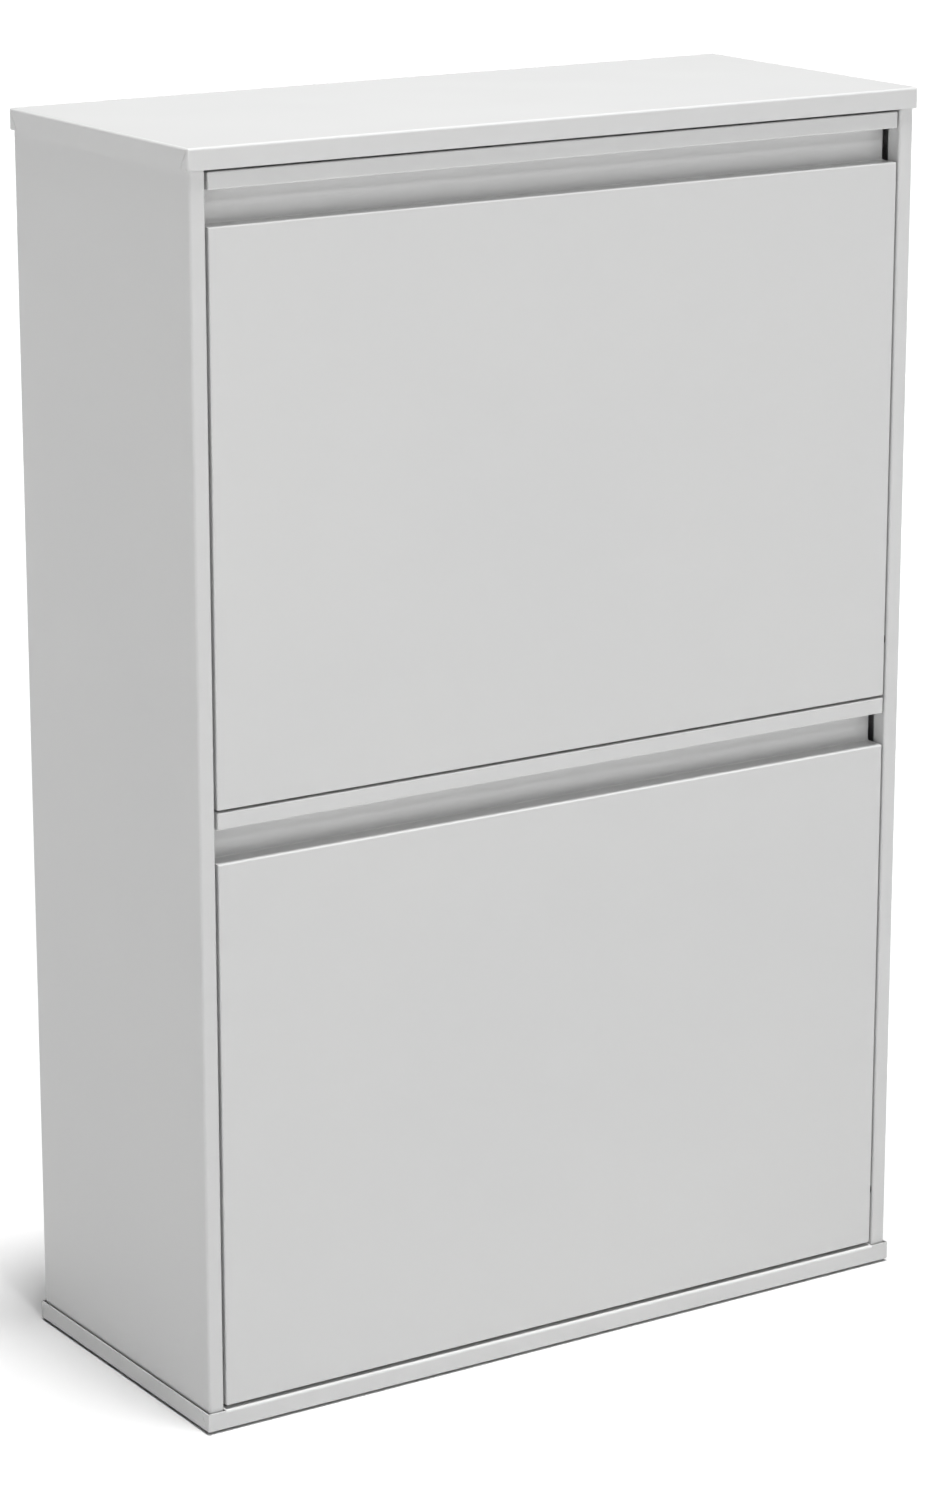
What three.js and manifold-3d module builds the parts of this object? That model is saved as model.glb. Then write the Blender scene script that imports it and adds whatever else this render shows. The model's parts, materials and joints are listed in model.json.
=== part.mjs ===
// A steel shoe cabinet: a carcass of folded sheet and two flaps, one above the other.
// Each flap is a door that carries a tray for two rows of shoes between two cheeks. It tips out
// about pins low down in its cheeks, until a fixed pin meets the end of a curved slot.
// Millimetres, +Z up. The doors face -Y, and the origin is on the floor below the middle.

import * as THREE from "three";
import { mergeVertices } from "three/addons/utils/BufferGeometryUtils.js";
import Module from "manifold-3d";

const wasm = await Module();
wasm.setup();

// Overall sizes
const WIDTH = 600;
const DEPTH = 250;
const HEIGHT = 900;

// Sheets and clearances
const SHEET = 0.8; // body and doors
const BACK_SHEET = 0.6;
const UPRIGHT_SHEET = 1.0;
const UPRIGHT_MARGIN = 30; // behind the stops' axis
const UPRIGHT_FOOT = 14; // where an upright lies against its side panel
const NOTCH_BEHIND = 14; // how far an upright's notch beside a finger recess reaches past the rail's front
const NOTCH_MARGIN = 4; // above and below the recess
const FOLD = 1.2; // inside radius of a fold
const FIT = 0.3; // gap between two pieces that lie against each other
const RUN = 0.15; // radial gap of a pin that turns in its bush
const DOOR_SIDE_GAP = 2;
const DOOR_GAP = 1.6; // between the two doors
const LID_GAP = 1.5; // between the lid and the upper door
const BASE_GAP = 2.5; // between the base and the lower door

// Lid and base
const OVERHANG = 2; // how far both stand proud of the panels between them
const LID_FLANGE = 15;
const BASE_FLANGE = 14;
const BASE_RETURN = 14; // depth of the fold behind the base's front flange
const GLIDE_PROUD = 1.5; // the base's height above the floor

// Side panels
const FRONT_FLANGE = 12;
const FRONT_RETURN = 13;
const REAR_FLANGE = 16;
const END_FLANGE = 30; // at the top and the bottom
const END_FLANGE_INSET = { front: 18, rear: 5 }; // from the panel's front and rear faces
const FASTENER_INSET = 20; // of studs and glides, from the panel's outer face
const LID_STUD_INSET = { front: 53, rear: 28 }; // from the panels' front and rear faces
const GLIDE_INSET = { front: 38, rear: 23 };

// Doors
const STRIP = 12; // height of the strip above the finger recess
const RECESS = 24.5; // height of the recess
const RECESS_DEPTH = 17.5;
const DOOR_RETURN = 15;

// Pivots and stops, from each pivot's axis
const PIVOT_INSET = 8; // from the front of the door
const PIVOT_RISE = 42; // from the bottom of the door
const PIN_R = 3;
const PIN_HEAD_R = 6;
const PIN_HEAD_T = 1.6;
const PIN_SPARE = 2.4; // how far a pin reaches past its upright
const BUSH_WALL = 1.25;
const BUSH_FLANGE = 1.0; // how far the bush's flange stands out past its body
const BUSH_FLANGE_T = 1.5;
const BUSH_BARB_T = 1.2;
const STOP_Y = 35;
const STOP_Z = 83;
const STOP_R = 2.5;
const SLEEVE_R = 4.5;
const STOP_HEAD_R = 6.5;
const STOP_HEAD_T = 1.5;
const OPEN_DEG = 48;
const SLOT_GAP = 0.5; // on each side of the sleeve
const SLOT_END_GAP = 0.3;

// Cheeks, trays and dividers, from the pivot's axis
const CHEEK_DROP = 38;
const CHEEK_FRONT_FLANGE = 12;
const CHEEK_REAR_GAP = 13; // to the inner face of the back panel
const CHEEK_TOP_GAP = 1.5; // to the underside of the recess
const TRAY_DROP = 33;
const TRAY_REAR_INSET = 1; // from the cheeks' rear edges
const TRAY_FRONT_LIP = 19;
const TRAY_END_FLANGE = 15;
const TRAY_BACK_DROP = 93; // from the cheek's rear corner to the tray's back edge
const DIVIDER_Y = 112;
const DIVIDER_DROP = 114; // from the cheek's curved edge to the divider's top
const HEM = 8;

// Rails, bumpers and fixings
const RAIL_GAP = 2.5; // between the recess and the rail behind it
const RAIL_DEPTH = 20;
const RAIL_TAB = 40;
const RAIL_BELOW = 9; // from the bumpers' axis to the rail's lower edge
const RAIL_TOP_DROP = { upper: 8, lower: 4 }; // from the lid's top, and from the lower door's top
const RAIL_TAB_MARGIN = 3; // from the channel's edges to its end tabs
const BUMPER_RISE = 15.5; // from the bottom of the recess
const BUMPER_X = 180;
const BUMPER_R = 5;
const BUMPER_BARB = 1.6;
const REAR_RAIL = 40;
const REAR_RAIL_DROP = 5;
const REAR_RAIL_FLANGE = 15;
const WALL_HOLE_X = 200;
const WALL_HOLE_R = 4;
const WALL_HOLE_DROP = 25;
const PRESS_DEPTH = 4; // of the back panel's pressed field
const PRESS_MARGIN = 32;
const RIVET_INSET = 7;
const LOW_RIVET_Z = 60;
const HIGH_RIVET_DROP = 20; // from the lid's top
const RIVET_R = 2;
const RIVET_HEAD_T = 1.2;
const M4_R = 2;
const M4_NUT_R = 4.04;
const M4_NUT_H = 3.2;
const M6_R = 3;
const M6_NUT_R = 5.77;
const M6_NUT_H = 5;
const GLIDE_R = 11;
const STUD_SPARE = 2; // how far studs reach past their nuts
const SCREW_HEAD_R = 4;
const SCREW_HEAD_H = 2.2;
const SCREW_LENGTH = 5; // past the upright's face

// Places that several pieces share
const panelX = WIDTH / 2 - OVERHANG; // outer face of the side panels
const frontY = -DEPTH / 2 + OVERHANG; // front of the doors and the side panels
const rearY = DEPTH / 2 - OVERHANG;
const flangeX = panelX - FRONT_FLANGE; // inner edge of the side panels' front flanges
const doorX = flangeX - DOOR_SIDE_GAP;
const cheekOuterX = doorX - SHEET - FOLD - FIT;
const cheekX = [cheekOuterX - SHEET, cheekOuterX];
const trayX = cheekX[0] - FIT;
const uprightX = flangeX + SHEET + FIT; // face of the uprights' inner plates
const insideX = panelX - SHEET - FOLD - FIT; // ends of what fits between the side panels
const panelZ = [GLIDE_PROUD + SHEET + FIT, HEIGHT - SHEET - FIT];
const baseTop = GLIDE_PROUD + BASE_FLANGE;
const lidBottom = HEIGHT - LID_FLANGE;
const lowerDoorZ = baseTop + BASE_GAP;
const doorHeight = (lidBottom - LID_GAP - lowerDoorZ - DOOR_GAP) / 2;
const upperDoorZ = lowerDoorZ + doorHeight + DOOR_GAP;
const pivotY = frontY + PIVOT_INSET;
const fastenerX = panelX - FASTENER_INSET;
const lidStudY = { front: frontY + LID_STUD_INSET.front, rear: rearY - LID_STUD_INSET.rear };
const glideY = { front: frontY + GLIDE_INSET.front, rear: rearY - GLIDE_INSET.rear };
const backY = rearY - SHEET - FIT; // rear face of the back panel
const railY = frontY + RECESS_DEPTH + SHEET + RAIL_GAP; // front face of the front rails
const railScrewY = railY + RAIL_TAB - 2 * SCREW_HEAD_R;
const uprightRear = pivotY + STOP_Y + UPRIGHT_MARGIN;
const rivetX = panelX - RIVET_INSET;
const highRivetZ = HEIGHT - HIGH_RIVET_DROP;
const wallHoleZ = HEIGHT - WALL_HOLE_DROP;

// Places on a flap, from its pivot
const doorFront = -PIVOT_INSET;
const doorBottom = -PIVOT_RISE;
const doorTop = doorBottom + doorHeight;
const stripBottom = doorTop - STRIP;
const mainTop = stripBottom - RECESS;
const cheekFront = doorFront + SHEET + FIT;
const cheekRear = backY - BACK_SHEET - CHEEK_REAR_GAP - pivotY;
const cheekR = mainTop - SHEET - CHEEK_TOP_GAP;
const trayRear = cheekRear - TRAY_REAR_INSET;
const trayBack = Math.sqrt(cheekR ** 2 - cheekRear ** 2) - TRAY_BACK_DROP;
const dividerTop = Math.sqrt(cheekR ** 2 - DIVIDER_Y ** 2) - DIVIDER_DROP;

// Steps along curves
const FOLD_STEPS = 2;
const ROUND_SIDES = 16;
const ARC_STEPS = 12;

const SIDES = { left: -1, right: 1 };
const FLAPS = { lower: lowerDoorZ + PIVOT_RISE, upper: upperDoorZ + PIVOT_RISE };

// Finishes
const COAT = { color: 0xdcdcda, roughness: 0.38, metalness: 0 };
const ZINC = { color: 0xb4b6b8, roughness: 0.35, metalness: 1 };
const NYLON = { color: 0x29292b, roughness: 0.5, metalness: 0 };
const RUBBER = { color: 0x2a2a2a, roughness: 0.85, metalness: 0 };

// Shapes

function solidOf(geometry) {
  geometry.deleteAttribute("normal");
  geometry.deleteAttribute("uv");
  const merged = mergeVertices(geometry, 1e-4);
  const vertProperties = merged.attributes.position.array;
  const triVerts = new Uint32Array(merged.index.array);
  return new wasm.Manifold(new wasm.Mesh({ numProp: 3, vertProperties, triVerts }));
}

function box([x0, x1], [y0, y1], [z0, z1]) {
  const shape = new THREE.BoxGeometry(x1 - x0, y1 - y0, z1 - z0);
  return solidOf(shape.translate((x0 + x1) / 2, (y0 + y1) / 2, (z0 + z1) / 2));
}

// A round or many-sided bar along x, y or z. centre gives its other two coordinates.
function bar(axis, radius, [from, to], centre, sides = ROUND_SIDES) {
  const shape = new THREE.CylinderGeometry(radius, radius, to - from, sides);
  const middle = (from + to) / 2;
  if (axis === "x") shape.rotateZ(-Math.PI / 2).translate(middle, centre[0], centre[1]);
  if (axis === "y") shape.translate(centre[0], middle, centre[1]);
  if (axis === "z") shape.rotateX(Math.PI / 2).translate(centre[0], centre[1], middle);
  return solidOf(shape);
}

// An outline drawn out along an axis: in (y, z) for x, in (x, z) for y and in (x, y) for z.
function prism(axis, outline, [from, to]) {
  const drawn = outline instanceof THREE.Shape;
  const shape = drawn ? outline : new THREE.Shape(outline.map((p) => new THREE.Vector2(...p)));
  const options = { depth: to - from, bevelEnabled: false, curveSegments: ARC_STEPS };
  const geometry = new THREE.ExtrudeGeometry(shape, options);
  const [x, y, z] = [new THREE.Vector3(1, 0, 0), new THREE.Vector3(0, 1, 0), new THREE.Vector3(0, 0, 1)];
  const turn = new THREE.Matrix4();
  if (axis === "x") turn.makeBasis(y, z, x).setPosition(from, 0, 0);
  if (axis === "y") turn.makeBasis(x, z, y.negate()).setPosition(0, to, 0);
  if (axis === "z") turn.setPosition(0, 0, from);
  return solidOf(geometry.applyMatrix4(turn));
}

// The two faces of a folded sheet. The points are where its first face would meet at sharp folds,
// and the sheet lies to the left of that face (side 1) or to its right (side -1).
function foldedFaces(points, side, thickness = SHEET) {
  const first = [];
  const second = [];
  const add = (x, y, heading) => {
    first.push([x, y]);
    second.push([x - side * thickness * Math.sin(heading), y + side * thickness * Math.cos(heading)]);
  };
  const headings = points.slice(1).map(([x, y], i) => Math.atan2(y - points[i][1], x - points[i][0]));
  add(...points[0], headings[0]);
  points.slice(1, -1).forEach(([x, y], i) => {
    const change = headings[i + 1] - headings[i];
    const turn = Math.atan2(Math.sin(change), Math.cos(change));
    const way = Math.sign(turn);
    const radius = way === side ? FOLD + thickness : FOLD;
    const setback = radius * Math.tan(Math.abs(turn) / 2);
    const centreX = x - setback * Math.cos(headings[i]) - way * radius * Math.sin(headings[i]);
    const centreY = y - setback * Math.sin(headings[i]) + way * radius * Math.cos(headings[i]);
    for (let step = 0; step <= FOLD_STEPS; step++) {
      const heading = headings[i] + (turn * step) / FOLD_STEPS;
      add(centreX + way * radius * Math.sin(heading), centreY - way * radius * Math.cos(heading), heading);
    }
  });
  add(...points.at(-1), headings.at(-1));
  return { first, second };
}

function foldedOutline(points, side, thickness) {
  const { first, second } = foldedFaces(points, side, thickness);
  return [...first, ...second.reverse()];
}

function filledOutline(points, side) {
  return foldedFaces(points, side).first;
}

// The low and high ends of a span of x on one side of the middle.
function across(side, near, far) {
  return side > 0 ? [near, far] : [-far, -near];
}

function join(solids) {
  return solids.reduce((whole, solid) => whole.add(solid));
}

function cut(solid, tools) {
  return tools.reduce((rest, tool) => rest.subtract(tool), solid);
}

// A rectangular tray from z = flat to the edge of its four flanges at z = edge.
function tray(edge, flat) {
  const side = flat > edge ? -1 : 1;
  const ends = (half) => [
    [-half, edge],
    [-half, flat],
    [half, flat],
    [half, edge],
  ];
  const spanX = [-WIDTH / 2, WIDTH / 2];
  const spanY = [-DEPTH / 2, DEPTH / 2];
  const frontAndRear = prism("x", foldedOutline(ends(DEPTH / 2), side), spanX);
  const leftAndRight = prism("y", foldedOutline(ends(WIDTH / 2), side), spanY);
  const filledX = prism("x", filledOutline(ends(DEPTH / 2), side), spanX);
  const filledY = prism("y", filledOutline(ends(WIDTH / 2), side), spanY);
  return frontAndRear.intersect(filledY).add(leftAndRight.intersect(filledX));
}

// Carcass

function lid() {
  const studs = Object.values(SIDES).flatMap((side) =>
    Object.values(lidStudY).map((y) => {
      const span = [HEIGHT - 2 * (SHEET + FIT) - M4_NUT_H - STUD_SPARE, HEIGHT - SHEET / 2];
      return bar("z", M4_R, span, [side * fastenerX, y]);
    }),
  );
  return join([tray(lidBottom, HEIGHT), ...studs]);
}

function base() {
  const returnX = flangeX - 2 * FIT;
  const cutFrom = GLIDE_PROUD + BASE_FLANGE / 2;
  const window = box([-returnX, returnX], [-DEPTH / 2 - 1, -DEPTH / 2 + 2 * SHEET], [cutFrom, baseTop + 1]);
  const fold = [
    [-DEPTH / 2, cutFrom - 2],
    [-DEPTH / 2, baseTop],
    [-DEPTH / 2 + BASE_RETURN, baseTop],
  ];
  const front = prism("x", foldedOutline(fold, -1), [-returnX, returnX]);
  const holes = Object.values(SIDES).flatMap((side) =>
    Object.values(glideY).map((y) => bar("z", M6_R + FIT, [0, panelZ[0]], [side * fastenerX, y])),
  );
  return cut(cut(tray(baseTop, GLIDE_PROUD), [window]).add(front), holes);
}

function sidePanel(side) {
  const section = [
    [side * (panelX - REAR_FLANGE), rearY],
    [side * panelX, rearY],
    [side * panelX, frontY],
    [side * flangeX, frontY],
    [side * flangeX, frontY + FRONT_RETURN],
  ];
  const wall = prism("z", foldedOutline(section, -side), panelZ);
  const flangeY = [frontY + END_FLANGE_INSET.front, rearY - END_FLANGE_INSET.rear];
  const flangeSpan = across(side, panelX - END_FLANGE, panelX - SHEET / 2);
  const bottom = box(flangeSpan, flangeY, [panelZ[0], panelZ[0] + SHEET]);
  const top = box(flangeSpan, flangeY, [panelZ[1] - SHEET, panelZ[1]]);
  const holes = [
    ...Object.values(lidStudY).map((y) =>
      bar("z", M4_R + FIT, [panelZ[1] - 2 * SHEET, HEIGHT], [side * fastenerX, y]),
    ),
    ...Object.values(glideY).map((y) =>
      bar("z", M6_R + FIT, [0, panelZ[0] + 2 * SHEET], [side * fastenerX, y]),
    ),
    ...[LOW_RIVET_Z, highRivetZ].map((z) =>
      bar("y", RIVET_R + FIT, [rearY - 2 * SHEET, rearY + 1], [side * rivetX, z]),
    ),
    ...Object.values(FLAPS).map((z) =>
      bar("x", bushR() + BUSH_FLANGE + 2 * FIT, across(side, flangeX - 1, uprightX), [pivotY, z]),
    ),
  ];
  return cut(join([wall, bottom, top]), holes);
}

function bushR() {
  return PIN_R + RUN + BUSH_WALL;
}

function upright(side) {
  const footX = panelX - SHEET - FIT - UPRIGHT_SHEET;
  const section = [
    [side * uprightX, frontY + SHEET + FOLD + FIT],
    [side * uprightX, uprightRear],
    [side * footX, uprightRear],
    [side * footX, uprightRear + UPRIGHT_FOOT],
  ];
  const span = [panelZ[0] + SHEET + FIT, panelZ[1] - SHEET - FIT];
  const plate = prism("z", foldedOutline(section, -side, UPRIGHT_SHEET), span);
  const through = across(side, uprightX - 1, uprightX + 2 * UPRIGHT_SHEET);
  const holes = Object.entries(FLAPS).flatMap(([flap, z]) => [
    bar("x", bushR() + FIT, through, [pivotY, z]),
    bar("x", STOP_R + FIT, through, [pivotY + STOP_Y, z + STOP_Z]),
    bar("x", M4_R + FIT, through, [railScrewY, railScrewZ(flap)]),
  ]);
  const notchY = [frontY, railY + NOTCH_BEHIND];
  const notches = Object.values(FLAPS).map((z) =>
    box(through, notchY, [z + mainTop - NOTCH_MARGIN, z + stripBottom + NOTCH_MARGIN]),
  );
  return cut(plate, [...holes, ...notches]);
}

// The lower rail ends below the upper flap's path, and the upper rail below the lid's studs.
function railZ(flap) {
  const bumperZ = FLAPS[flap] + mainTop + BUMPER_RISE;
  const under = flap === "upper" ? HEIGHT : FLAPS.lower + doorTop;
  return [bumperZ - RAIL_BELOW, under - RAIL_TOP_DROP[flap]];
}

function railScrewZ(flap) {
  const [bottom, top] = railZ(flap);
  return (bottom + top) / 2;
}

function frontRail(flap) {
  const [bottom, top] = railZ(flap);
  const section = [
    [railY + RAIL_DEPTH, top],
    [railY, top],
    [railY, bottom],
    [railY + RAIL_DEPTH, bottom],
  ];
  const endX = uprightX - FIT;
  const channel = prism("x", foldedOutline(section, 1), [-endX, endX]);
  const sides = Object.values(SIDES);
  const tabY = [railY + SHEET / 2, railY + RAIL_TAB];
  const tabs = sides.map((side) =>
    box(across(side, endX - SHEET, endX), tabY, [bottom + RAIL_TAB_MARGIN, top - RAIL_TAB_MARGIN]),
  );
  const holes = sides.flatMap((side) => [
    bar("y", M4_R + FIT, [railY - 1, railY + 3 * SHEET], [side * BUMPER_X, bottom + RAIL_BELOW]),
    bar("x", M4_R + FIT, across(side, endX - 2 * SHEET, endX + 1), [railScrewY, railScrewZ(flap)]),
  ]);
  return cut(join([channel, ...tabs]), holes);
}

function rearRail() {
  const y = backY - BACK_SHEET - FIT;
  const top = HEIGHT - REAR_RAIL_DROP;
  const section = [
    [y - REAR_RAIL_FLANGE, top],
    [y, top],
    [y, top - REAR_RAIL],
    [y - REAR_RAIL_FLANGE / 2, top - REAR_RAIL],
  ];
  const holes = Object.values(SIDES).flatMap((side) => [
    bar("y", WALL_HOLE_R, [y - 2 * SHEET, y + 1], [side * WALL_HOLE_X, wallHoleZ]),
    bar("y", RIVET_R + FIT, [y - 2 * SHEET, y + 1], [side * rivetX, highRivetZ]),
  ]);
  return cut(prism("x", foldedOutline(section, -1), [-insideX, insideX]), holes);
}

function backPanel() {
  const front = backY - BACK_SHEET;
  const bottom = panelZ[0] + SHEET + FIT;
  const top = panelZ[1] - SHEET - FIT;
  const fieldX = insideX - PRESS_MARGIN;
  const fieldZ = [bottom + PRESS_MARGIN, HEIGHT - REAR_RAIL_DROP - REAR_RAIL - PRESS_MARGIN / 2];
  // A field pressed forwards, with sides that slope at 45 degrees
  const field = (shift, reach) => {
    const flat = front - PRESS_DEPTH + shift;
    const slopeX = [
      [-fieldX, front + shift + reach],
      [-fieldX, front + shift],
      [-fieldX + PRESS_DEPTH, flat],
      [fieldX - PRESS_DEPTH, flat],
      [fieldX, front + shift],
      [fieldX, front + shift + reach],
    ];
    const slopeZ = [
      [front + shift + reach, fieldZ[0]],
      [front + shift, fieldZ[0]],
      [flat, fieldZ[0] + PRESS_DEPTH],
      [flat, fieldZ[1] - PRESS_DEPTH],
      [front + shift, fieldZ[1]],
      [front + shift + reach, fieldZ[1]],
    ];
    return prism("z", slopeX, fieldZ).intersect(prism("x", slopeZ, [-fieldX, fieldX]));
  };
  const sheet = box([-insideX, insideX], [front, backY], [bottom, top]);
  const holes = Object.values(SIDES).flatMap((side) => [
    bar("y", WALL_HOLE_R + 2, [front - 1, backY + 1], [side * WALL_HOLE_X, wallHoleZ]),
    ...[LOW_RIVET_Z, highRivetZ].map((z) =>
      bar("y", RIVET_R + FIT, [front - 1, backY + 1], [side * rivetX, z]),
    ),
  ]);
  const pressed = sheet.add(field(0, BACK_SHEET / 2)).subtract(field(BACK_SHEET, 1));
  return cut(pressed, holes);
}

function bush(side, z) {
  const centre = [pivotY, z];
  const plate = [uprightX, uprightX + UPRIGHT_SHEET];
  const flangeBack = plate[0] - FIT;
  const barbFront = plate[1] + FIT;
  const end = barbFront + BUSH_BARB_T;
  const flange = across(side, flangeBack - BUSH_FLANGE_T, flangeBack);
  const bore = bar("x", PIN_R + RUN, across(side, flangeX - 3, end + 1), centre);
  const body = join([
    bar("x", bushR() + BUSH_FLANGE, flange, centre),
    bar("x", bushR(), across(side, flangeBack - BUSH_FLANGE_T / 2, end), centre),
    bar("x", bushR() + 2 * FIT, across(side, barbFront, end), centre),
  ]);
  return body.subtract(bore);
}

function stopPin(side, z) {
  const centre = [pivotY + STOP_Y, z + STOP_Z];
  const rivetFrom = uprightX + UPRIGHT_SHEET + FIT;
  const headTo = cheekX[0] - 4 * FIT;
  return join([
    bar("x", STOP_HEAD_R, across(side, headTo - STOP_HEAD_T, headTo), centre),
    bar("x", STOP_R, across(side, headTo - STOP_HEAD_T / 2, rivetFrom + STOP_HEAD_T / 2), centre),
    bar("x", SLEEVE_R, across(side, rivetFrom, rivetFrom + STOP_HEAD_T), centre),
  ]);
}

function stopSleeve(side, z) {
  const centre = [pivotY + STOP_Y, z + STOP_Z];
  const span = across(side, cheekX[0] - 3 * FIT, uprightX - FIT);
  const bore = bar("x", STOP_R + FIT, across(side, cheekX[0] - 2, uprightX + 1), centre);
  return bar("x", SLEEVE_R, span, centre).subtract(bore);
}

function glide(side, y) {
  const centre = [side * fastenerX, y];
  const foot = bar("z", GLIDE_R, [0, GLIDE_PROUD - FIT], centre);
  const stud = bar("z", M6_R, [GLIDE_PROUD / 2, panelZ[0] + SHEET + FIT + M6_NUT_H + STUD_SPARE], centre);
  return foot.add(stud);
}

function glideNut(side, y) {
  const centre = [side * fastenerX, y];
  const bottom = panelZ[0] + SHEET + FIT;
  const nut = bar("z", M6_NUT_R, [bottom, bottom + M6_NUT_H], centre, 6);
  return nut.subtract(bar("z", M6_R + FIT, [bottom - 1, bottom + M6_NUT_H + 1], centre));
}

function lidNut(side, y) {
  const centre = [side * fastenerX, y];
  const top = panelZ[1] - SHEET - FIT;
  const nut = bar("z", M4_NUT_R, [top - M4_NUT_H, top], centre, 6);
  return nut.subtract(bar("z", M4_R + FIT, [top - M4_NUT_H - 1, top + 1], centre));
}

function bumper(side, flap) {
  const centre = [side * BUMPER_X, railZ(flap)[0] + RAIL_BELOW];
  const barbY = railY + SHEET + FIT;
  return join([
    bar("y", BUMPER_R, [railY - RAIL_GAP + FIT, railY - FIT], centre),
    bar("y", M4_R, [railY - RAIL_GAP / 2, barbY + 1.5 * BUMPER_BARB], centre),
    bar("y", M4_R + 1, [barbY, barbY + BUMPER_BARB], centre),
  ]);
}

function backRivet(side, z) {
  const centre = [side * rivetX, z];
  const tailY = backY - BACK_SHEET - FIT - SHEET - FIT;
  return join([
    bar("y", 2 * RIVET_R, [rearY + FIT, rearY + FIT + RIVET_HEAD_T], centre),
    bar("y", RIVET_R, [tailY - RIVET_HEAD_T, rearY + RIVET_HEAD_T], centre),
    bar("y", 1.5 * RIVET_R, [tailY - 2 * RIVET_HEAD_T, tailY], centre),
  ]);
}

function railScrew(side, flap) {
  const centre = [railScrewY, railScrewZ(flap)];
  const headTo = uprightX - FIT - SHEET - FIT;
  return join([
    bar("x", SCREW_HEAD_R, across(side, headTo - SCREW_HEAD_H, headTo), centre),
    bar("x", M4_R, across(side, headTo - SCREW_HEAD_H / 2, uprightX + SCREW_LENGTH), centre),
  ]);
}

// Flaps, each about its own pivot

function door() {
  const section = [
    [doorFront + DOOR_RETURN, doorBottom],
    [doorFront, doorBottom],
    [doorFront, mainTop],
    [doorFront + RECESS_DEPTH, mainTop],
    [doorFront + RECESS_DEPTH, stripBottom],
    [doorFront, stripBottom],
    [doorFront, doorTop],
    [doorFront + RECESS_DEPTH, doorTop],
  ];
  const spanX = [-doorX, doorX];
  const wrap = (depth) => [
    [-doorX, doorFront + depth],
    [-doorX, doorFront],
    [doorX, doorFront],
    [doorX, doorFront + depth],
  ];
  const edges = prism("z", filledOutline(wrap(RECESS_DEPTH + 5), 1), [doorBottom, doorTop]);
  const face = prism("x", foldedOutline(section, -1), spanX).intersect(edges);
  // The side returns of the main panel and of the strip
  const returns = [
    [DOOR_RETURN, doorBottom, mainTop],
    [RECESS_DEPTH, stripBottom, doorTop],
  ].map(([depth, bottom, top]) => {
    const profile = [
      [doorFront + depth, bottom],
      [doorFront, bottom],
      [doorFront, top],
      [doorFront + depth, top],
    ];
    const filled = prism("x", filledOutline(profile, -1), spanX);
    return prism("z", foldedOutline(wrap(depth), 1), [bottom, top]).intersect(filled);
  });
  const holes = Object.values(SIDES).map((side) =>
    bar("x", PIN_R + FIT, across(side, doorX - 2 * SHEET, doorX + 1), [0, 0]),
  );
  return cut(join([face, ...returns]), holes);
}

function cheek(side) {
  const plate = new THREE.Shape();
  plate.moveTo(cheekFront, -CHEEK_DROP);
  plate.lineTo(cheekRear, -CHEEK_DROP);
  plate.absarc(0, 0, cheekR, Math.acos(cheekRear / cheekR), Math.acos(cheekFront / cheekR), false);
  plate.closePath();

  // The slot that the stop's sleeve runs in as the flap turns
  const radius = Math.hypot(STOP_Y, STOP_Z);
  const half = SLEEVE_R + SLOT_GAP;
  const spare = (SLOT_END_GAP - SLOT_GAP) / radius;
  const closed = Math.atan2(STOP_Z, STOP_Y) + spare;
  const open = Math.atan2(STOP_Z, STOP_Y) - THREE.MathUtils.degToRad(OPEN_DEG) - spare;
  const slot = new THREE.Shape();
  const roundEnd = (angle, start) =>
    slot.absarc(radius * Math.cos(angle), radius * Math.sin(angle), half, start, start + Math.PI, false);
  slot.absarc(0, 0, radius + half, open, closed, false);
  roundEnd(closed, closed);
  slot.absarc(0, 0, radius - half, closed, open, true);
  roundEnd(open, open + Math.PI);

  const through = across(side, cheekX[0] - 1, cheekX[1] + 1);
  const flange = box(
    across(side, cheekX[1] - CHEEK_FRONT_FLANGE, cheekX[1]),
    [cheekFront, cheekFront + SHEET],
    [2 * PIN_HEAD_R, cheekR - 2 * CHEEK_FRONT_FLANGE],
  );
  const sheet = prism("x", plate, across(side, ...cheekX)).add(flange);
  return cut(sheet, [prism("x", slot, through), bar("x", PIN_R + FIT, through, [0, 0])]);
}

function shoeTray() {
  const section = [
    [cheekFront, -TRAY_DROP + TRAY_FRONT_LIP],
    [cheekFront, -TRAY_DROP],
    [trayRear, -TRAY_DROP],
    [trayRear, trayBack],
    [trayRear - HEM, trayBack],
  ];
  const sheet = prism("x", foldedOutline(section, 1), [-trayX, trayX]);
  const ends = Object.values(SIDES).map((side) =>
    box(
      across(side, trayX - SHEET, trayX),
      [2 * PIN_HEAD_R, trayRear - 2 * PIN_HEAD_R],
      [-TRAY_DROP + SHEET / 2, -TRAY_DROP + TRAY_END_FLANGE],
    ),
  );
  return join([sheet, ...ends]);
}

function divider() {
  const foot = -TRAY_DROP + SHEET + FIT;
  const section = [
    [DIVIDER_Y - 2 * HEM, foot],
    [DIVIDER_Y, foot],
    [DIVIDER_Y, dividerTop],
    [DIVIDER_Y - HEM, dividerTop],
  ];
  const endX = trayX - SHEET - FIT;
  return prism("x", foldedOutline(section, 1), [-endX, endX]);
}

function pivotPin(side) {
  const collarTo = uprightX - 2 * FIT - BUSH_FLANGE_T;
  return join([
    bar("x", PIN_HEAD_R, across(side, trayX - PIN_HEAD_T, trayX), [0, 0]),
    bar("x", PIN_R, across(side, trayX - PIN_HEAD_T / 2, uprightX + UPRIGHT_SHEET + PIN_SPARE), [0, 0]),
    bar("x", bushR(), across(side, doorX + FIT, collarTo), [0, 0]),
  ]);
}

// Assembly

const cabinet = new THREE.Group();

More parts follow.
